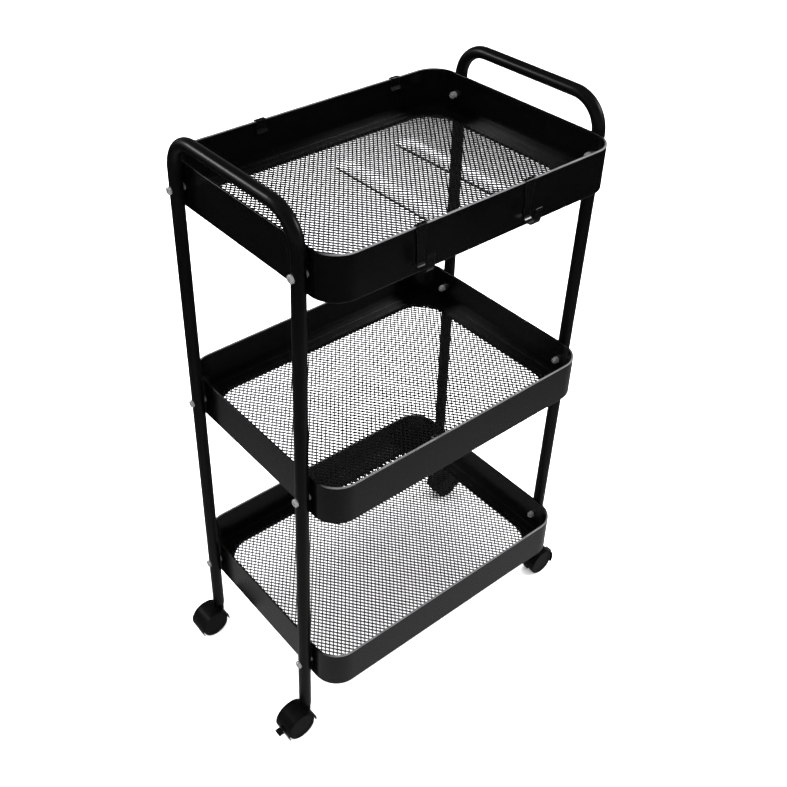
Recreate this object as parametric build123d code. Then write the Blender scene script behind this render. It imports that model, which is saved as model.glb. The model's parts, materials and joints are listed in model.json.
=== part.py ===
from build123d import *

import os
from math import sqrt

os.makedirs("parts", exist_ok=True)

# Side frames: one bent tube each, legs leaning in slightly towards the floor
TUBE_D = 16.0
TUBE_WALL = 1.2
LEG_X = 213.0
HANDLE_Z = 779.0
HANDLE_BEND_R = 40.0
LEG_Y_TOP = 113.0
LEG_Y_FOOT = 104.3
FOOT_Z = 46.5
LEG_TRIM = 5.0

# Trays: folded sheet with a hemmed rim and an inward bottom flange
TRAY_X = 204.0
TRAY_Y = 150.0
TRAY_CORNER_R = 33.0
TRAY_DEPTH = 55.0
SHEET = 1.0
HEM_THICK = 2.4
HEM_HEIGHT = 5.0
FLANGE_WIDTH = 21.0
WINDOW_CORNER_R = 38.0
BEAD_INSET = 12.0
BEAD_WIDTH = 2.0
BEAD_HEIGHT = 0.8
BEAD_R = 0.6
FOLD_R = 2.0
RIM_EDGE_R = 0.7
RIM_Z = {"top": 744.0, "middle": 447.0, "bottom": 161.0}
MESH_THICK = 1.2
MESH_LAP = 4.0

# Tray fasteners, along X through each leg
BOLT_DROP = 30.0
BOLT_D = 5.0
BOLT_HOLE_D = 5.4
BOLT_HEAD_D = 9.6
BOLT_HEAD_H = 3.0
BOLT_HEAD_EDGE_R = 1.2
BOLT_END_X = 195.8
CROSS_LENGTH = 5.0
CROSS_WIDTH = 1.0
CROSS_DEPTH = 1.6
WASHER_D = 9.0
WASHER_THICK = 1.0
NUT_AF = 8.0
NUT_H = 4.0
NUT_CORNER_TRIM = 0.1
NUT_CHAMFER = 0.5

# Hooks over the rim of the top tray
HOOK_X = {"front_left": -92.0, "front_right": 60.0, "back_left": -76.0, "back_right": 130.0}
HOOK_THICK = 1.2
HOOK_CLIP_WIDTH = 13.5
HOOK_TIP_WIDTH = 9.5
HOOK_GAP = 0.3
HOOK_SEAT_GAP = 0.1
HOOK_TAPER_TOP = 7.0
HOOK_TAPER_END = 24.0
HOOK_INNER_R = 7.0
HOOK_BOTTOM = 48.0
HOOK_TIP = 26.0
HOOK_CLIP_LENGTH = 11.0
HOOK_LIP_OUT = 3.0
HOOK_LIP_DROP = 3.0
HOOK_BEND_R = 1.2
HOOK_TIP_R = 0.55
HOOK_TRIM_ABOVE = 3.0
HOOK_TRIM_BELOW = 1.0
HOOK_TRIM_DEPTH = 25.0

# Casters: twin wheels under a fender-shaped housing
CASTER_TRAIL = 15.0
WHEEL_R = 20.0
WHEEL_IN_Y = 4.0
WHEEL_OUT_Y = 13.4
WHEEL_FACE_WALL = 1.8
WHEEL_EDGE_R = 1.5
WHEEL_DISH_R = 15.5
WHEEL_DISH_DEPTH = 0.6
AXLE_D = 4.0
RUNNING_GAP = 0.08
FENDER_IN_R = 21.1
FENDER_OUT_R = 22.5
FENDER_Y = 14.8
FENDER_REAR_DROP = 9.0
FENDER_FRONT_DROP = 1.0
WEB_Y = 3.5
WEB_BOTTOM_Z = 9.0
BOSS_R = 7.0
BOSS_BOTTOM_Z = 33.0
NECK_R = 6.2
NECK_Z = 43.2
NECK_TOP_Z = 45.1
STEM_D = 8.0
STEM_TOP_Z = 76.0
STEM_CHAMFER = 1.0
STEM_FLANGE_R = 5.2
STEM_FLANGE_LOW_Z = 39.4
STEM_FLANGE_HIGH_Z = 40.6
CHAMBER_GAP = 0.4
GRIP_RING_LOW_Z = 66.0
GRIP_RING_HIGH_Z = 69.0
GRIP_RING_DEPTH = 0.7
GRIP_RING_SPLIT = 1.2
SOCKET_TOP_Z = 78.0
SOCKET_SLEEVE_D = 13.2
SOCKET_FLANGE_THICK = 1.0

# Foot brake on the two front casters
LEVER_PIVOT_X = 10.5
LEVER_PIVOT_Z = 20.0
LEVER_PIN_D = 2.5
LEVER_HUB_R = 3.6
LEVER_ARM_Y = 1.9
LEVER_ARM_THICK = 3.4
LEVER_SLOT_Y = 2.3
LEVER_SLOT_FRONT_X = 5.8
LEVER_SLOT_LOW_Z = 9.0
LEVER_SLOT_HIGH_Z = 27.0
PADDLE_Y = 5.2
PADDLE_START_X = 23.4
PADDLE_END_X = 31.0
PADDLE_Z = 19.2
PADDLE_THICK = 3.0
PADDLE_EDGE_R = 0.8
HUB_R = 8.0

TRAY_ORDER = ("top", "middle", "bottom")
CASTERS = {
    "front_left": (-1, -1),
    "front_right": (1, -1),
    "back_left": (-1, 1),
    "back_right": (1, 1),
}


def leg_y(z):
    """Distance of a leg's centreline from the middle of the cart at height z."""
    lean = (LEG_Y_TOP - LEG_Y_FOOT) / (HANDLE_Z - FOOT_Z)
    return LEG_Y_FOOT + lean * (z - FOOT_Z)


def bolt_z(tray):
    return RIM_Z[tray] - BOLT_DROP


def bolt_places():
    """Every tray bolt as (side along X, y, z)."""
    places = []
    for tray in TRAY_ORDER:
        z = bolt_z(tray)
        for side in (-1, 1):
            for row in (-1, 1):
                places.append((side, row * leg_y(z), z))
    return places


def disc_x(x_from, x_to, y, z, radius):
    """Solid cylinder along X between two x positions."""
    low = min(x_from, x_to)
    plane = Plane(origin=(low, y, z), x_dir=(0, 1, 0), z_dir=(1, 0, 0))
    return extrude(plane * Circle(radius), abs(x_to - x_from))


def disc_y(y_from, y_to, x, z, radius):
    """Solid cylinder along Y between two y positions."""
    low = min(y_from, y_to)
    plane = Plane(origin=(x, low, z), x_dir=(1, 0, 0), z_dir=(0, 1, 0))
    return extrude(plane * Circle(radius), abs(y_to - y_from))


def disc_z(z_from, z_to, x, y, radius):
    """Solid cylinder along Z between two heights."""
    return extrude(Plane(origin=(x, y, z_from)) * Circle(radius), z_to - z_from)


def block(x_range, y_range, z_range):
    """Box given by its limits, each pair in any order."""
    low = [min(pair) for pair in (x_range, y_range, z_range)]
    size = [abs(pair[1] - pair[0]) for pair in (x_range, y_range, z_range)]
    return Pos(*low) * Box(*size, align=(Align.MIN, Align.MIN, Align.MIN))


def side_frame(side):
    """Inverted U tube: two legs and the push handle, drilled for the tray bolts."""
    x = side * LEG_X
    below = FOOT_Z - LEG_TRIM
    path = FilletPolyline(
        (x, -leg_y(below), below),
        (x, -LEG_Y_TOP, HANDLE_Z),
        (x, LEG_Y_TOP, HANDLE_Z),
        (x, leg_y(below), below),
        radius=HANDLE_BEND_R,
    )
    start = Plane(origin=path @ 0, z_dir=path % 0)
    ring = Circle(TUBE_D / 2) - Circle(TUBE_D / 2 - TUBE_WALL)
    tube = sweep(start * ring, path)
    tube -= block((x - TUBE_D, x + TUBE_D), (-LEG_Y_TOP - TUBE_D, LEG_Y_TOP + TUBE_D), (0, FOOT_Z))
    for bolt_side, y, z in bolt_places():
        if bolt_side == side:
            tube -= disc_x(x - TUBE_D, x + TUBE_D, y, z, BOLT_HOLE_D / 2)
    return tube


def tray_outline(inset, z, corner_r=None):
    """Rounded rectangle face at height z, inset from the outer skin, corners following it if not given."""
    radius = corner_r or TRAY_CORNER_R - inset
    return Pos(0, 0, z) * RectangleRounded(2 * (TRAY_X - inset), 2 * (TRAY_Y - inset), radius)


def tray_shell(tray):
    """Sheet-metal tray: walls, hemmed rim and beaded bottom flange, open in the middle."""
    rim = RIM_Z[tray]
    low = rim - TRAY_DEPTH
    outer = extrude(tray_outline(0, low), TRAY_DEPTH)
    outer = fillet(outer.edges().group_by(Axis.Z)[0], FOLD_R)
    inner = extrude(tray_outline(SHEET, low + SHEET), TRAY_DEPTH)
    inner = fillet(inner.edges().group_by(Axis.Z)[0], FOLD_R - SHEET)
    window = extrude(tray_outline(FLANGE_WIDTH, low - SHEET, WINDOW_CORNER_R), 3 * SHEET)
    bead_low = low + SHEET / 2
    bead_outer = tray_outline(BEAD_INSET - BEAD_WIDTH / 2, bead_low)
    bead_inner = tray_outline(BEAD_INSET + BEAD_WIDTH / 2, bead_low)
    bead = extrude(bead_outer - bead_inner, SHEET / 2 + BEAD_HEIGHT)
    bead = fillet(bead.edges().group_by(Axis.Z)[-1], BEAD_R)
    hem_low = rim - HEM_HEIGHT
    hem = extrude(tray_outline(SHEET / 2, hem_low) - tray_outline(HEM_THICK, hem_low), HEM_HEIGHT)
    shell = outer - inner - window + hem + bead
    shell = fillet(shell.edges().group_by(Axis.Z)[-1], RIM_EDGE_R)
    for side, y, z in bolt_places():
        if z == bolt_z(tray):
            wall = side * TRAY_X
            shell -= disc_x(wall - side * 3 * SHEET, wall + side * SHEET, y, z, BOLT_HOLE_D / 2)
    return shell


def tray_mesh(tray):
    """Floor sheet lapping onto the flange round the tray's window."""
    seat = RIM_Z[tray] - TRAY_DEPTH + SHEET
    return extrude(tray_outline(FLANGE_WIDTH - MESH_LAP, seat, WINDOW_CORNER_R + MESH_LAP), MESH_THICK)


def tray_bolt(side, y, z):
    """Pan-head machine screw with a cross recess."""
    seat = side * (LEG_X + TUBE_D / 2)
    face = seat + side * BOLT_HEAD_H
    head = disc_x(seat, face, y, z, BOLT_HEAD_D / 2)
    rim = head.edges().filter_by(GeomType.CIRCLE).sort_by(Axis.X)
    head = fillet(rim[-1] if side > 0 else rim[0], BOLT_HEAD_EDGE_R)
    shank = disc_x(side * BOLT_END_X, seat, y, z, BOLT_D / 2)
    bolt = head + shank
    recess = (face - side * CROSS_DEPTH, face + side)
    for wide, high in ((CROSS_LENGTH, CROSS_WIDTH), (CROSS_WIDTH, CROSS_LENGTH)):
        bolt -= block(recess, (y - wide / 2, y + wide / 2), (z - high / 2, z + high / 2))
    return bolt


def washer(side, inner_x, y, z):
    """Plain washer whose face nearest the middle of the cart is at inner_x."""
    outer_x = inner_x + side * WASHER_THICK
    return disc_x(inner_x, outer_x, y, z, WASHER_D / 2) - disc_x(inner_x, outer_x, y, z, BOLT_HOLE_D / 2)


def tray_nut(side, y, z):
    """Hexagon nut on the inside of a tray wall."""
    seat = side * (TRAY_X - SHEET - WASHER_THICK)
    low = min(seat, seat - side * NUT_H)
    plane = Plane(origin=(low, y, z), x_dir=(0, 1, 0), z_dir=(1, 0, 0))
    hexagon = RegularPolygon(NUT_AF / 2, 6, major_radius=False)
    nut = extrude(plane * hexagon, NUT_H)
    round_stock = disc_x(low, low + NUT_H, y, z, NUT_AF / sqrt(3) - NUT_CORNER_TRIM)
    ends = round_stock.edges().filter_by(GeomType.CIRCLE)
    nut &= chamfer(ends, NUT_CHAMFER)
    return nut - disc_x(low, low + NUT_H, y, z, BOLT_D / 2)


def hook_profile():
    """Hook section, x outward from the tray wall and y up from the rim."""
    inside = -HEM_THICK - HOOK_GAP
    clip = Pos(inside - HOOK_THICK, -HOOK_CLIP_LENGTH) * Rectangle(
        HOOK_THICK, HOOK_CLIP_LENGTH + HOOK_SEAT_GAP + HOOK_THICK, align=(Align.MIN, Align.MIN)
    )
    saddle = Pos(inside - HOOK_THICK, HOOK_SEAT_GAP) * Rectangle(
        HEM_THICK + 2 * (HOOK_GAP + HOOK_THICK), HOOK_THICK, align=(Align.MIN, Align.MIN)
    )
    centre = (HOOK_GAP + HOOK_THICK + HOOK_INNER_R, HOOK_THICK + HOOK_INNER_R - HOOK_BOTTOM)
    drop = Pos(HOOK_GAP, centre[1]) * Rectangle(
        HOOK_THICK, HOOK_SEAT_GAP + HOOK_THICK - centre[1], align=(Align.MIN, Align.MIN)
    )
    bend = Pos(*centre) * (Circle(HOOK_INNER_R + HOOK_THICK) - Circle(HOOK_INNER_R))
    reach = 2 * (HOOK_INNER_R + HOOK_THICK)
    bend &= Pos(*centre) * Rectangle(reach, reach, align=(Align.CENTER, Align.MAX))
    riser = Pos(centre[0] + HOOK_INNER_R, centre[1]) * Rectangle(
        HOOK_THICK, -HOOK_TIP - centre[1], align=(Align.MIN, Align.MIN)
    )
    lip = make_face(
        Polyline(
            (inside, -HOOK_CLIP_LENGTH),
            (inside - HOOK_THICK, -HOOK_CLIP_LENGTH),
            (inside - HOOK_THICK - HOOK_LIP_OUT, -HOOK_CLIP_LENGTH - HOOK_LIP_DROP),
            (inside - HOOK_LIP_OUT, -HOOK_CLIP_LENGTH - HOOK_LIP_DROP - HOOK_THICK / 2),
            (inside, -HOOK_CLIP_LENGTH),
        )
    )
    section = clip + saddle + drop + bend + riser + lip
    top_corners = section.vertices().group_by(Axis.Y)[-1]
    section = fillet(top_corners, HOOK_BEND_R)
    tip = section.vertices().filter_by_position(Axis.Y, -HOOK_TIP, -HOOK_TIP)
    return fillet(tip, HOOK_TIP_R)


def hook(place):
    """Strip-metal hook that hangs on the top tray's rim and lifts straight off."""
    x = HOOK_X[place]
    out = -1 if place.startswith("front") else 1
    rim = RIM_Z["top"]
    plane = Plane(origin=(x, out * TRAY_Y, rim), x_dir=(0, out, 0), z_dir=(out, 0, 0))
    strip = extrude(plane * hook_profile(), HOOK_CLIP_WIDTH / 2, both=True)
    half_wide = HOOK_CLIP_WIDTH / 2
    half_tip = HOOK_TIP_WIDTH / 2
    low = -HOOK_BOTTOM - HOOK_TRIM_BELOW
    outline = make_face(
        Polyline(
            (-half_wide, HOOK_TRIM_ABOVE),
            (half_wide, HOOK_TRIM_ABOVE),
            (half_wide, -HOOK_TAPER_TOP),
            (half_tip, -HOOK_TAPER_END),
            (half_tip, low),
            (-half_tip, low),
            (-half_tip, -HOOK_TAPER_END),
            (-half_wide, -HOOK_TAPER_TOP),
            (-half_wide, HOOK_TRIM_ABOVE),
        )
    )
    front = Plane(origin=(x, out * TRAY_Y, rim), x_dir=(1, 0, 0), z_dir=(0, -1, 0))
    shaped = extrude(front * outline, HOOK_TRIM_DEPTH, both=True)
    inner_part = block((x - half_wide, x + half_wide), (0, out * (TRAY_Y - SHEET)), (0, rim))
    return strip & (shaped + inner_part)


def stem_place(place):
    """The x and y of a caster's stem."""
    side, row = CASTERS[place]
    return side * LEG_X, row * leg_y((FOOT_Z + SOCKET_TOP_Z) / 2)


def axle_place(place):
    """The way a caster trails along X, its axle's x and its middle y."""
    side = CASTERS[place][0]
    x, y = stem_place(place)
    return side, x + side * CASTER_TRAIL, y


def caster_socket(place):
    """Plastic sleeve pressed into the foot of a leg."""
    x, y = stem_place(place)
    sleeve = disc_z(FOOT_Z, SOCKET_TOP_Z, x, y, SOCKET_SLEEVE_D / 2)
    flange = disc_z(FOOT_Z - SOCKET_FLANGE_THICK, FOOT_Z, x, y, TUBE_D / 2)
    bore = disc_z(FOOT_Z - SOCKET_FLANGE_THICK, SOCKET_TOP_Z, x, y, STEM_D / 2)
    return sleeve + flange - bore


def caster_stem(place):
    """Steel stem with a groove for its grip ring and a foot flange in the housing."""
    x, y = stem_place(place)
    pin = disc_z(STEM_FLANGE_LOW_Z, STEM_TOP_Z, x, y, STEM_D / 2)
    pin = chamfer(pin.edges().group_by(Axis.Z)[-1], STEM_CHAMFER)
    flange = disc_z(STEM_FLANGE_LOW_Z, STEM_FLANGE_HIGH_Z, x, y, STEM_FLANGE_R)
    groove = disc_z(GRIP_RING_LOW_Z, GRIP_RING_HIGH_Z, x, y, STEM_D / 2)
    core = disc_z(GRIP_RING_LOW_Z, GRIP_RING_HIGH_Z, x, y, STEM_D / 2 - GRIP_RING_DEPTH)
    return pin + flange - (groove - core)


def grip_ring(place):
    """Split spring ring in the stem's groove."""
    x, y = stem_place(place)
    ring = disc_z(GRIP_RING_LOW_Z, GRIP_RING_HIGH_Z, x, y, STEM_D / 2)
    ring -= disc_z(GRIP_RING_LOW_Z, GRIP_RING_HIGH_Z, x, y, STEM_D / 2 - GRIP_RING_DEPTH)
    across = (y - GRIP_RING_SPLIT / 2, y + GRIP_RING_SPLIT / 2)
    return ring - block((x, x + STEM_D), across, (GRIP_RING_LOW_Z, GRIP_RING_HIGH_Z))


def caster_housing(place):
    """Fender over both wheels, with a middle web and a boss that turns on the stem."""
    side, axle_x, y = axle_place(place)
    x = stem_place(place)[0]
    axle_z = WHEEL_R
    shell = disc_y(y - FENDER_Y, y + FENDER_Y, axle_x, axle_z, FENDER_OUT_R)
    shell -= disc_y(y - FENDER_Y, y + FENDER_Y, axle_x, axle_z, FENDER_IN_R)
    rear = (axle_x, axle_x + side * 2 * FENDER_OUT_R)
    front = (axle_x, axle_x - side * 2 * FENDER_OUT_R)
    across = (y - 2 * FENDER_Y, y + 2 * FENDER_Y)
    shell -= block(rear, across, (-FENDER_OUT_R, axle_z - FENDER_REAR_DROP))
    shell -= block(front, across, (-FENDER_OUT_R, axle_z - FENDER_FRONT_DROP))
    web = disc_y(y - WEB_Y, y + WEB_Y, axle_x, axle_z, (FENDER_IN_R + FENDER_OUT_R) / 2)
    web -= block((rear[1], front[1]), across, (-FENDER_OUT_R, WEB_BOTTOM_Z))
    web -= block(front, across, (-FENDER_OUT_R, axle_z - HUB_R)) - disc_y(
        y - 2 * FENDER_Y, y + 2 * FENDER_Y, axle_x, axle_z, HUB_R
    )
    boss = disc_z(BOSS_BOTTOM_Z, NECK_Z, x, y, BOSS_R) + disc_z(NECK_Z, NECK_TOP_Z, x, y, NECK_R)
    for wheel_side in (-1, 1):
        boss -= disc_y(y + wheel_side * WEB_Y, y + wheel_side * FENDER_Y, axle_x, axle_z, FENDER_IN_R)
    housing = shell + web + boss
    chamber_low = STEM_FLANGE_LOW_Z - CHAMBER_GAP
    chamber_high = STEM_FLANGE_HIGH_Z + CHAMBER_GAP
    housing -= disc_z(chamber_low, chamber_high, x, y, STEM_FLANGE_R + CHAMBER_GAP)
    housing -= disc_z(chamber_low, NECK_TOP_Z, x, y, STEM_D / 2 + RUNNING_GAP)
    housing -= disc_y(y - WEB_Y, y + WEB_Y, axle_x, axle_z, AXLE_D / 2)
    if place.startswith("front"):
        pivot_x = axle_x + side * LEVER_PIVOT_X
        housing -= block(
            (axle_x + side * LEVER_SLOT_FRONT_X, axle_x + side * 2 * FENDER_OUT_R),
            (y - LEVER_SLOT_Y, y + LEVER_SLOT_Y),
            (LEVER_SLOT_LOW_Z, LEVER_SLOT_HIGH_Z),
        )
        housing -= disc_y(y - WEB_Y, y + WEB_Y, pivot_x, LEVER_PIVOT_Z, LEVER_PIN_D / 2)
    return housing


def caster_axle(place):
    """Plain steel axle, held in the web, with a wheel on each end."""
    side, axle_x, y = axle_place(place)
    reach = WHEEL_OUT_Y - WHEEL_FACE_WALL - CHAMBER_GAP
    return disc_y(y - reach, y + reach, axle_x, WHEEL_R, AXLE_D / 2)


def caster_wheel(place, wheel_side):
    """One wheel: rounded tread, shallow dished face and a blind bore for the axle."""
    side, axle_x, y = axle_place(place)
    inner = y + wheel_side * WHEEL_IN_Y
    outer = y + wheel_side * WHEEL_OUT_Y
    tread = disc_y(inner, outer, axle_x, WHEEL_R, WHEEL_R)
    tread = fillet(tread.edges().filter_by(GeomType.CIRCLE), WHEEL_EDGE_R)
    dish = disc_y(outer - wheel_side * WHEEL_DISH_DEPTH, outer, axle_x, WHEEL_R, WHEEL_DISH_R)
    bore_end = outer - wheel_side * WHEEL_FACE_WALL
    bore = disc_y(inner, bore_end, axle_x, WHEEL_R, AXLE_D / 2 + RUNNING_GAP)
    return tread - dish - bore


def brake_pin(place):
    """Pivot pin of a brake lever, across the web."""
    side, axle_x, y = axle_place(place)
    return disc_y(y - WEB_Y, y + WEB_Y, axle_x + side * LEVER_PIVOT_X, LEVER_PIVOT_Z, LEVER_PIN_D / 2)


def brake_lever(place):
    """Foot lever: a hub on the pin, an arm through the fender slot and a paddle."""
    side, axle_x, y = axle_place(place)
    pivot_x = axle_x + side * LEVER_PIVOT_X
    hub = disc_y(y - LEVER_ARM_Y, y + LEVER_ARM_Y, pivot_x, LEVER_PIVOT_Z, LEVER_HUB_R)
    half = LEVER_ARM_THICK / 2
    side_view = make_face(
        Polyline(
            (pivot_x, LEVER_PIVOT_Z + half),
            (axle_x + side * PADDLE_START_X, PADDLE_Z + half),
            (axle_x + side * PADDLE_START_X, PADDLE_Z - half),
            (pivot_x, LEVER_PIVOT_Z - half),
            (pivot_x, LEVER_PIVOT_Z + half),
        )
    )
    plane = Plane(origin=(0, y, 0), x_dir=(1, 0, 0), z_dir=(0, -1, 0))
    arm = extrude(plane * side_view, LEVER_ARM_Y, both=True)
    paddle = block(
        (axle_x + side * PADDLE_START_X, axle_x + side * PADDLE_END_X),
        (y - PADDLE_Y, y + PADDLE_Y),
        (PADDLE_Z - PADDLE_THICK / 2, PADDLE_Z + PADDLE_THICK / 2),
    )
    paddle = fillet(paddle.edges(), PADDLE_EDGE_R)
    bore = disc_y(y - PADDLE_Y, y + PADDLE_Y, pivot_x, LEVER_PIVOT_Z, LEVER_PIN_D / 2 + RUNNING_GAP)
    return hub + arm + paddle - bore


nodes = {}
nodes["frame_left"] = side_frame(-1)
nodes["frame_right"] = side_frame(1)
for tray in TRAY_ORDER:
    nodes[f"tray_{tray}"] = tray_shell(tray)
    nodes[f"mesh_{tray}"] = tray_mesh(tray)
nodes["tray_bolts"] = Compound(children=[tray_bolt(*place) for place in bolt_places()])
nodes["tray_spacers"] = Compound(children=[washer(s, s * TRAY_X, y, z) for s, y, z in bolt_places()])
nodes["nut_washers"] = Compound(
    children=[washer(s, s * (TRAY_X - SHEET - WASHER_THICK), y, z) for s, y, z in bolt_places()]
)
nodes["tray_nuts"] = Compound(children=[tray_nut(*place) for place in bolt_places()])
for place in HOOK_X:
    nodes[f"hook_{place}"] = hook(place)
nodes["caster_sockets"] = Compound(children=[caster_socket(place) for place in CASTERS])
nodes["caster_stems"] = Compound(children=[caster_stem(place) for place in CASTERS])
nodes["grip_rings"] = Compound(children=[grip_ring(place) for place in CASTERS])
for place in CASTERS:
    nodes[f"housing_{place}"] = caster_housing(place)
    nodes[f"axle_{place}"] = caster_axle(place)
    nodes[f"wheel_{place}_near"] = caster_wheel(place, -1)
    nodes[f"wheel_{place}_far"] = caster_wheel(place, 1)
    if place.startswith("front"):
        nodes[f"brake_pin_{place}"] = brake_pin(place)
        nodes[f"brake_lever_{place}"] = brake_lever(place)

for name, shape in nodes.items():
    export_step(shape, f"parts/{name}.step")
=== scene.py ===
import json
import math

import bmesh
import bpy
from mathutils import Matrix, Vector


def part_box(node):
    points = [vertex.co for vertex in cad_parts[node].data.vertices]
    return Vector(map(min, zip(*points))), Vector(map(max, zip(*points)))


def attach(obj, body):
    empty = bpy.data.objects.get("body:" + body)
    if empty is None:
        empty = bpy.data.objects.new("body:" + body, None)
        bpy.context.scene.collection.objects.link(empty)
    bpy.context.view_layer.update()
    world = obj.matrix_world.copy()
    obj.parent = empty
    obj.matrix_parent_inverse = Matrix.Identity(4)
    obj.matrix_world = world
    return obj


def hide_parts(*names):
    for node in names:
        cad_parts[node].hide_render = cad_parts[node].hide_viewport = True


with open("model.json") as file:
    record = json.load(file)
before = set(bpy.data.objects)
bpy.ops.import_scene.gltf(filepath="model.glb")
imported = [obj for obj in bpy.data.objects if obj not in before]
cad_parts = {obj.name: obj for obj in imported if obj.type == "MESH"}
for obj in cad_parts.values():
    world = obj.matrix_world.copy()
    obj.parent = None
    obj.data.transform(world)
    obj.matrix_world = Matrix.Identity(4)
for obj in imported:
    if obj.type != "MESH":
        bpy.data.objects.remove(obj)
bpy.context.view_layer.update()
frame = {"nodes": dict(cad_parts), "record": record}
nodes = frame["nodes"]

MM = 0.001
TRAYS = ("top", "middle", "bottom")
EDGE_TURN_FULL = 0.80  # dot product of true and rounded normals at full wear
EDGE_TURN_NONE = 0.95
PAINT_EDGE_R = 0.7 * MM
PLASTIC_EDGE_R = 0.8 * MM
PLASTIC_SPECULAR = 0.07
ZINC_METAL = 0.7  # some diffuse is left in, so that it reads as bright plate
RIM_HIGHLIGHT_SHARE = 0.026  # share of a tray's height that the painted rim highlight takes
RIM_SIDE_LOW = 0.42  # share of the depth from the middle where the painted rim highlight band fades in
RIM_SIDE_HIGH = 0.49


# ---------------------------------------------------------------- node helpers
class Graph:
    """Small helper that adds and links shader nodes."""

    def __init__(self, name):
        self.material = bpy.data.materials.new(name)
        self.material.use_nodes = True
        self.tree = self.material.node_tree
        self.shader = self.tree.nodes["Principled BSDF"]

    def add(self, kind, inputs=None, **settings):
        node = self.tree.nodes.new(kind)
        for key, value in settings.items():
            setattr(node, key, value)
        for key, value in (inputs or {}).items():
            if isinstance(value, bpy.types.NodeSocket):
                self.tree.links.new(value, node.inputs[key])
            else:
                node.inputs[key].default_value = value
        return node

    def link(self, socket, name):
        self.tree.links.new(socket, self.shader.inputs[name])

    def noise(self, scale, detail=2.0, rough=0.5):
        coord = self.add("ShaderNodeTexCoord")
        node = self.add(
            "ShaderNodeTexNoise",
            {
                "Vector": coord.outputs["Object"],
                "Scale": scale,
                "Detail": detail,
                "Roughness": rough,
            },
        )
        return node.outputs["Fac"]

    def spread(self, socket, low, high, start=0.0, end=1.0):
        node = self.add(
            "ShaderNodeMapRange",
            {
                "Value": socket,
                "From Min": start,
                "From Max": end,
                "To Min": low,
                "To Max": high,
            },
        )
        return node.outputs["Result"]

    def mix(self, amount, first, second):
        node = self.add("ShaderNodeMix", data_type="RGBA")
        for index, value in ((0, amount), (6, first), (7, second)):
            if isinstance(value, bpy.types.NodeSocket):
                self.tree.links.new(value, node.inputs[index])
            else:
                node.inputs[index].default_value = value
        return node.outputs[2]

    def combine(self, first, second, operation="ADD"):
        return self.add("ShaderNodeMath", {0: first, 1: second}, operation=operation).outputs[0]

    def edges(self, radius):
        """One on a rounded edge of the given radius, nought on open surface."""
        bevel = self.add("ShaderNodeBevel", {"Radius": radius}, samples=4)
        geometry = self.add("ShaderNodeNewGeometry")
        dot = self.add(
            "ShaderNodeVectorMath",
            {0: bevel.outputs["Normal"], 1: geometry.outputs["Normal"]},
            operation="DOT_PRODUCT",
        )
        return self.spread(dot.outputs["Value"], 1.0, 0.0, EDGE_TURN_FULL, EDGE_TURN_NONE)

    def painted_rim_highlight(self, share):
        """Painted highlight: one in the top share of the object's height, along its two long
        sides only.
        """
        coord = self.add("ShaderNodeTexCoord")
        split = self.add("ShaderNodeSeparateXYZ", {0: coord.outputs["Generated"]})
        top = self.spread(split.outputs["Z"], 0.0, 1.0, 1.0 - share, 1.0 - share / 2)
        aside = self.combine(split.outputs["Y"], 0.5, "SUBTRACT")
        aside = self.combine(aside, 0.0, "ABSOLUTE")
        side = self.spread(aside, 0.0, 1.0, RIM_SIDE_LOW, RIM_SIDE_HIGH)
        return self.combine(top, side, "MULTIPLY")

    def bump(self, height, strength, distance):
        node = self.add(
            "ShaderNodeBump", {"Height": height, "Strength": strength, "Distance": distance}
        )
        self.link(node.outputs["Normal"], "Normal")


def grey(level, tint=1.03):
    return (level, level, level * tint, 1.0)


def powder_coat(name, level, rough, peel, strength, specular, edge_wear_and_rim_highlight_level, painted_rim_highlight=None):
    """Black powder coat: orange peel, faint cloudiness, and either worn edges or a painted
    highlight band along the top rim.
    """
    g = Graph(name)
    cloud = g.noise(9.0, 3.0)
    fine = g.noise(peel, 2.0, 0.4)
    # the edge mask marks edge wear; the rim mask paints a lighter highlight band along the top
    # rim
    mask = g.edges(PAINT_EDGE_R) if painted_rim_highlight is None else g.painted_rim_highlight(painted_rim_highlight)
    patchy = g.spread(g.noise(40.0, 3.0), 0.6, 1.0, 0.3, 0.6)
    edge_wear_and_rim_highlight = g.combine(mask, patchy, "MULTIPLY")
    amount = g.spread(cloud, 0.0, 1.0, 0.3, 0.7)
    body = g.mix(amount, grey(level * 0.8), grey(level * 1.25))
    # lighter colour on worn edges, or a painted highlight on the tray rims
    g.link(g.mix(edge_wear_and_rim_highlight, body, grey(edge_wear_and_rim_highlight_level)), "Base Color")
    g.shader.inputs["Specular IOR Level"].default_value = specular
    base = g.spread(cloud, rough * 0.88, rough * 1.14, 0.3, 0.7)
    g.link(g.combine(base, g.spread(edge_wear_and_rim_highlight, 0.0, 0.12)), "Roughness")
    g.bump(fine, strength, 0.0002)
    return g.material


def zinc(name, level, rough):
    """Bright zinc plate: soft turning marks, slight tarnish in patches."""
    g = Graph(name)
    g.shader.inputs["Metallic"].default_value = ZINC_METAL
    patch = g.noise(320.0, 3.0)
    grain = g.noise(2600.0, 2.0)
    clean = (level, level, level * 1.02, 1.0)
    dull = (level * 0.72, level * 0.72, level * 0.70, 1.0)
    g.link(g.mix(g.spread(patch, 0.0, 1.0, 0.35, 0.75), clean, dull), "Base Color")
    g.link(g.spread(patch, rough * 0.8, rough * 1.4, 0.3, 0.7), "Roughness")
    g.bump(grain, 0.10, 0.00008)
    return g.material


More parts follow.
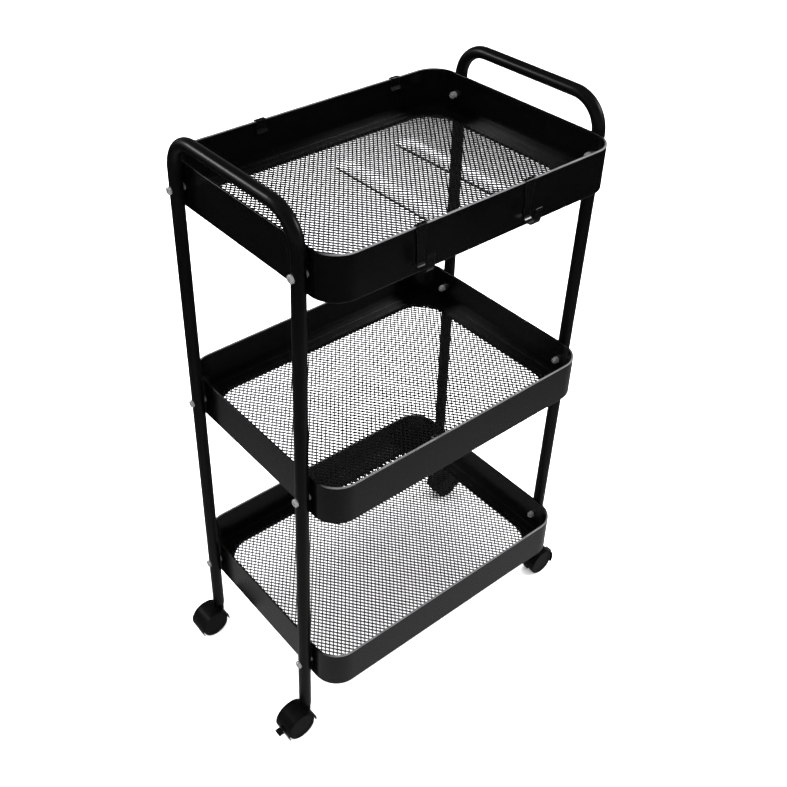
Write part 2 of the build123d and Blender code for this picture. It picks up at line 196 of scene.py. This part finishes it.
def moulded(name, level, rough, grain=1500.0, strength=0.25):
    """Moulded black nylon: fine spark-eroded grain, scuffed lighter on edges."""
    g = Graph(name)
    cloud = g.noise(60.0, 3.0)
    fine = g.noise(grain, 3.0, 0.6)
    scuff = g.combine(g.edges(PLASTIC_EDGE_R), g.noise(260.0, 4.0), "MULTIPLY")
    amount = g.spread(cloud, 0.0, 1.0, 0.3, 0.7)
    body = g.mix(amount, grey(level * 0.8), grey(level * 1.3))
    g.shader.inputs["Specular IOR Level"].default_value = PLASTIC_SPECULAR
    g.link(g.mix(scuff, body, grey(level * 4.0)), "Base Color")
    g.link(g.spread(cloud, rough * 0.9, rough * 1.15, 0.3, 0.7), "Roughness")
    g.bump(fine, strength, 0.0001)
    return g.material


MATERIALS = {
    "frame_tube": powder_coat("frame_black", 0.0010, 0.30, 380.0, 0.04, 0.20, 0.003),
    # on the trays the 0.085 edge colour is not wear but a painted highlight along the top rim of
    # the long sides
    "tray_sheet": powder_coat("tray_black", 0.0008, 0.22, 420.0, 0.0, 0.44, 0.085, RIM_HIGHLIGHT_SHARE),
    "mesh_floor": powder_coat("mesh_black", 0.0012, 0.34, 500.0, 0.10, 0.35, 0.004),
    "hook_strip": powder_coat("hook_black", 0.0010, 0.18, 500.0, 0.02, 0.7, 0.005),
    "bolts": zinc("bolt_zinc", 0.36, 0.24),
    "nuts": zinc("nut_zinc", 0.33, 0.28),
    "washers": zinc("washer_zinc", 0.32, 0.30),
    "steel_pins": zinc("pin_steel", 0.30, 0.30),
    "caster_plastic": moulded("caster_black", 0.0012, 0.36),
    "wheel_plastic": moulded("wheel_black", 0.0018, 0.34, 1100.0, 0.12),
    "lever_plastic": moulded("lever_black", 0.0018, 0.38),
}

slot_of = {part["node"]: part["material_slot"] for part in frame["record"]["subparts"]}
for node_name, node_object in nodes.items():
    paint = MATERIALS[slot_of[node_name]]
    for index in range(max(1, len(node_object.material_slots))):
        if node_object.material_slots:
            node_object.material_slots[index].material = paint
        else:
            node_object.data.materials.append(paint)


def new_piece(name, mesh, slot, body, stands_for=()):
    piece = bpy.data.objects.new(name, mesh)
    bpy.context.scene.collection.objects.link(piece)
    mesh.materials.clear()
    mesh.materials.append(MATERIALS[slot])
    if stands_for:
        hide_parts(*stands_for)
    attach(piece, body)
    return piece


# ---------------------------------------------------------------- expanded-metal floors
CELL_X = 6.6 * MM
CELL_Y = 8.25 * MM
STRAND = 1.65 * MM
BOND_Y = 1.35 * MM
HOLE_FLAT = 0.4 * MM  # half the blunt end of a hole
SHEET_THICK = 1.15 * MM
STRAND_TWIST = -0.42 * MM
MESH_CORNER_R = 42.0 * MM
CREASES_X = {"top": (-17.0 * MM, 80.0 * MM)}
CREASE_DEPTH = 1.5 * MM
CREASE_EDGE = 2.0 * MM
CREASE_FLAT = 16.0 * MM
CREASE_WIDTH = 27.0 * MM
CREASE_HALF_LENGTH = 70.0 * MM
CREASE_FADE = 22.0 * MM


def smooth(value, start, end):
    t = max(0.0, min(1.0, (value - start) / (end - start)))
    return t * t * (3.0 - 2.0 * t)


def crease(tray, x, y):
    """Shallow pressed troughs across a floor: a sharp near edge and a slow rise after it."""
    depth = 0.0
    along = 1.0 - smooth(abs(y), CREASE_HALF_LENGTH, CREASE_HALF_LENGTH + CREASE_FADE)
    for start in CREASES_X.get(tray, ()):
        inside = smooth(x, start, start + CREASE_EDGE)
        inside *= 1.0 - smooth(x, start + CREASE_FLAT, start + CREASE_WIDTH)
        depth += CREASE_DEPTH * inside * along
    return -depth


def inside_outline(x, y, half_x, half_y, radius):
    """Moves a point onto the rounded rectangle if it lies outside; says whether it was inside."""
    core_x, core_y = half_x - radius, half_y - radius
    past_x, past_y = abs(x) - core_x, abs(y) - core_y
    if past_x > 0 and past_y > 0:
        reach = math.hypot(past_x, past_y)
        if reach <= radius:
            return True, x, y
        factor = radius / reach
        return (
            False,
            math.copysign(core_x + past_x * factor, x),
            math.copysign(core_y + past_y * factor, y),
        )
    if abs(x) <= half_x and abs(y) <= half_y:
        return True, x, y
    return False, max(-half_x, min(half_x, x)), max(-half_y, min(half_y, y))


def expanded_mesh(tray):
    """Diamond mesh cut from one sheet: a ring of faces round every hole, then given thickness."""
    low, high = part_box(f"mesh_{tray}")
    half_x, half_y = (high[0] - low[0]) / 2, (high[1] - low[1]) / 2
    centre_z = (low[2] + high[2]) / 2
    work = bmesh.new()
    shared = {}

    def vertex(x, y, z):
        inside, x, y = inside_outline(x, y, half_x, half_y, MESH_CORNER_R)
        z = z + crease(tray, x, y) if inside else 0.0
        key = (round(x, 6), round(y, 6), round(z, 6))
        if key not in shared:
            shared[key] = work.verts.new((x, y, centre_z + z))
        return shared[key]

    hole_x = CELL_X / 2 - STRAND / 2 * math.hypot(CELL_X, CELL_Y) / CELL_Y
    hole_y = CELL_Y / 2 - BOND_Y
    steps_x = int(half_x / CELL_X) + 2
    steps_y = int(half_y / CELL_Y) + 2
    for column in range(-2 * steps_x, 2 * steps_x + 1):
        for row in range(-2 * steps_y, 2 * steps_y + 1):
            if (column + row) % 2:
                continue
            x, y = column * CELL_X / 2, row * CELL_Y / 2
            if not inside_outline(x, y, half_x, half_y, MESH_CORNER_R)[0]:
                continue
            right = vertex(x + CELL_X / 2, y, 0)
            back = vertex(x, y + CELL_Y / 2, 0)
            left = vertex(x - CELL_X / 2, y, 0)
            front = vertex(x, y - CELL_Y / 2, 0)
            hole_right = vertex(x + hole_x, y, STRAND_TWIST)
            hole_back_a = vertex(x + HOLE_FLAT, y + hole_y, STRAND_TWIST / 2)
            hole_back_b = vertex(x - HOLE_FLAT, y + hole_y, -STRAND_TWIST / 2)
            hole_left = vertex(x - hole_x, y, -STRAND_TWIST)
            hole_front_b = vertex(x - HOLE_FLAT, y - hole_y, -STRAND_TWIST / 2)
            hole_front_a = vertex(x + HOLE_FLAT, y - hole_y, STRAND_TWIST / 2)
            for face in (
                (right, back, hole_back_a, hole_right),
                (back, hole_back_b, hole_back_a),
                (back, left, hole_left, hole_back_b),
                (left, front, hole_front_b, hole_left),
                (front, hole_front_a, hole_front_b),
                (front, right, hole_right, hole_front_a),
            ):
                if len(set(face)) == len(face):
                    try:
                        work.faces.new(face)
                    except ValueError:
                        pass  # at the outline, pulled-in cells can ask for a face twice
    bmesh.ops.recalc_face_normals(work, faces=work.faces)
    mesh = bpy.data.meshes.new(f"diamond_mesh_{tray}")
    work.to_mesh(mesh)
    work.free()
    piece = new_piece(f"diamond_mesh_{tray}", mesh, "mesh_floor", "cart", (f"mesh_{tray}",))
    solid = piece.modifiers.new("thickness", "SOLIDIFY")
    solid.thickness = SHEET_THICK
    solid.offset = 0.0
    return piece


for tray_name in TRAYS:
    expanded_mesh(tray_name)


# ---------------------------------------------------------------- floor, light, camera
def look_at(item, target, roll=0.0):
    forward = (Vector(target) - item.location).normalized()
    item.rotation_euler = (
        forward.to_track_quat("-Z", "Y").to_matrix() @ Matrix.Rotation(roll, 3, "Z")
    ).to_euler()


FLOOR_HALF = 14.0
FLOOR_WHITE = (0.97, 0.97, 0.97, 1.0)
floor_mesh = bpy.data.meshes.new("floor")
floor_work = bmesh.new()
bmesh.ops.create_grid(floor_work, x_segments=1, y_segments=1, size=FLOOR_HALF)
floor_work.to_mesh(floor_mesh)
floor_work.free()
floor = bpy.data.objects.new("floor", floor_mesh)
bpy.context.scene.collection.objects.link(floor)
floor_paint = Graph("floor_pale")
floor_paint.shader.inputs["Base Color"].default_value = FLOOR_WHITE
floor_paint.shader.inputs["Roughness"].default_value = 0.85
floor_paint.shader.inputs["Specular IOR Level"].default_value = 0.1
floor_mesh.materials.append(floor_paint.material)
floor.visible_glossy = False


def gloss_only(name, mesh, measure, start, end, near, far, place=(0.0, 0.0, 0.0)):
    """A softly graded surround for gloss alone: the camera and diffuse rays don't see it."""
    shell = bpy.data.objects.new(name, mesh)
    bpy.context.scene.collection.objects.link(shell)
    shell.location = place
    glow = bpy.data.materials.new(name)
    glow.use_nodes = True
    tree = glow.node_tree
    tree.nodes.clear()
    coord = tree.nodes.new("ShaderNodeTexCoord")
    fade = tree.nodes.new("ShaderNodeMapRange")
    fade.interpolation_type = "SMOOTHSTEP"
    fade.inputs["From Min"].default_value = start
    fade.inputs["From Max"].default_value = end
    fade.inputs["To Min"].default_value = near
    fade.inputs["To Max"].default_value = far
    emit = tree.nodes.new("ShaderNodeEmission")
    out = tree.nodes.new("ShaderNodeOutputMaterial")
    if measure == "reach":
        reach = tree.nodes.new("ShaderNodeVectorMath")
        reach.operation = "LENGTH"
        tree.links.new(coord.outputs["Object"], reach.inputs[0])
        tree.links.new(reach.outputs["Value"], fade.inputs["Value"])
    else:
        split = tree.nodes.new("ShaderNodeSeparateXYZ")
        tree.links.new(coord.outputs["Object"], split.inputs[0])
        tree.links.new(split.outputs["Z"], fade.inputs["Value"])
    tree.links.new(fade.outputs["Result"], emit.inputs["Strength"])
    tree.links.new(emit.outputs["Emission"], out.inputs["Surface"])
    mesh.materials.clear()
    mesh.materials.append(glow)
    shell.visible_camera = False
    shell.visible_diffuse = False
    shell.visible_transmission = False
    shell.visible_shadow = False


CARD_PLACE = (0.12, -0.06, 0.0)
CARD_BRIGHT_R = 0.10
CARD_DARK_R = 1.30
CARD_BRIGHT = 0.38
CARD_DARK = 0.015
DOME_R = 12.0
DOME_LOW_Z = 0.10
DOME_HIGH_Z = 0.45
DOME_BRIGHT = 0.32
DOME_DARK = 0.03
card_mesh = floor_mesh.copy()
card_reach = (CARD_BRIGHT_R, CARD_DARK_R, CARD_BRIGHT, CARD_DARK)
gloss_only("glow_card", card_mesh, "reach", *card_reach, place=CARD_PLACE)
dome_mesh = bpy.data.meshes.new("glow_dome")
dome_work = bmesh.new()
bmesh.ops.create_uvsphere(dome_work, u_segments=48, v_segments=24, radius=DOME_R)
dome_work.to_mesh(dome_mesh)
dome_work.free()
low_z, high_z = DOME_R * DOME_LOW_Z, DOME_R * DOME_HIGH_Z
gloss_only("glow_dome", dome_mesh, "height", low_z, high_z, DOME_BRIGHT, DOME_DARK)

world = bpy.data.worlds.new("studio")
bpy.context.scene.world = world
world.use_nodes = True
WORLD_STRENGTH = 2.2
backdrop = world.node_tree.nodes["Background"]
backdrop.inputs["Color"].default_value = (1.0, 1.0, 1.0, 1.0)
backdrop.inputs["Strength"].default_value = WORLD_STRENGTH


def area_light(name, place, side, power, in_gloss=True):
    """A square lamp that faces the middle of the cart."""
    data = bpy.data.lights.new(name, "AREA")
    data.shape = "RECTANGLE"
    data.size = side
    data.size_y = side
    data.energy = power
    lamp = bpy.data.objects.new(name, data)
    bpy.context.scene.collection.objects.link(lamp)
    lamp.location = place
    look_at(lamp, CART_MIDDLE)
    lamp.visible_glossy = in_gloss


CART_MIDDLE = (0.0, 0.0, 0.4)
area_light("key_overhead", (0.0, 0.2, 4.0), 5.0, 420.0, in_gloss=False)
area_light("box_right", (1.9, -1.4, 2.0), 0.8, 24.0)
area_light("box_left", (-1.7, 2.2, 1.9), 0.7, 24.0)

CAMERA_PLACE = (-0.7002, -0.7931, 1.2526)
CAMERA_TARGET = (-0.0660, 0.0257, 0.5527)
CAMERA_ROLL = math.radians(-0.18)
camera_data = bpy.data.cameras.new("camera")
camera = bpy.data.objects.new("camera", camera_data)
bpy.context.scene.collection.objects.link(camera)
camera.location = CAMERA_PLACE
look_at(camera, CAMERA_TARGET, CAMERA_ROLL)
camera_data.sensor_width = 36.0
camera_data.lens = 47.88
camera_data.shift_x = 0.0784
camera_data.shift_y = -0.1195
camera_data.clip_end = 60.0
bpy.context.scene.camera = camera
bpy.context.scene.view_settings.view_transform = "Standard"
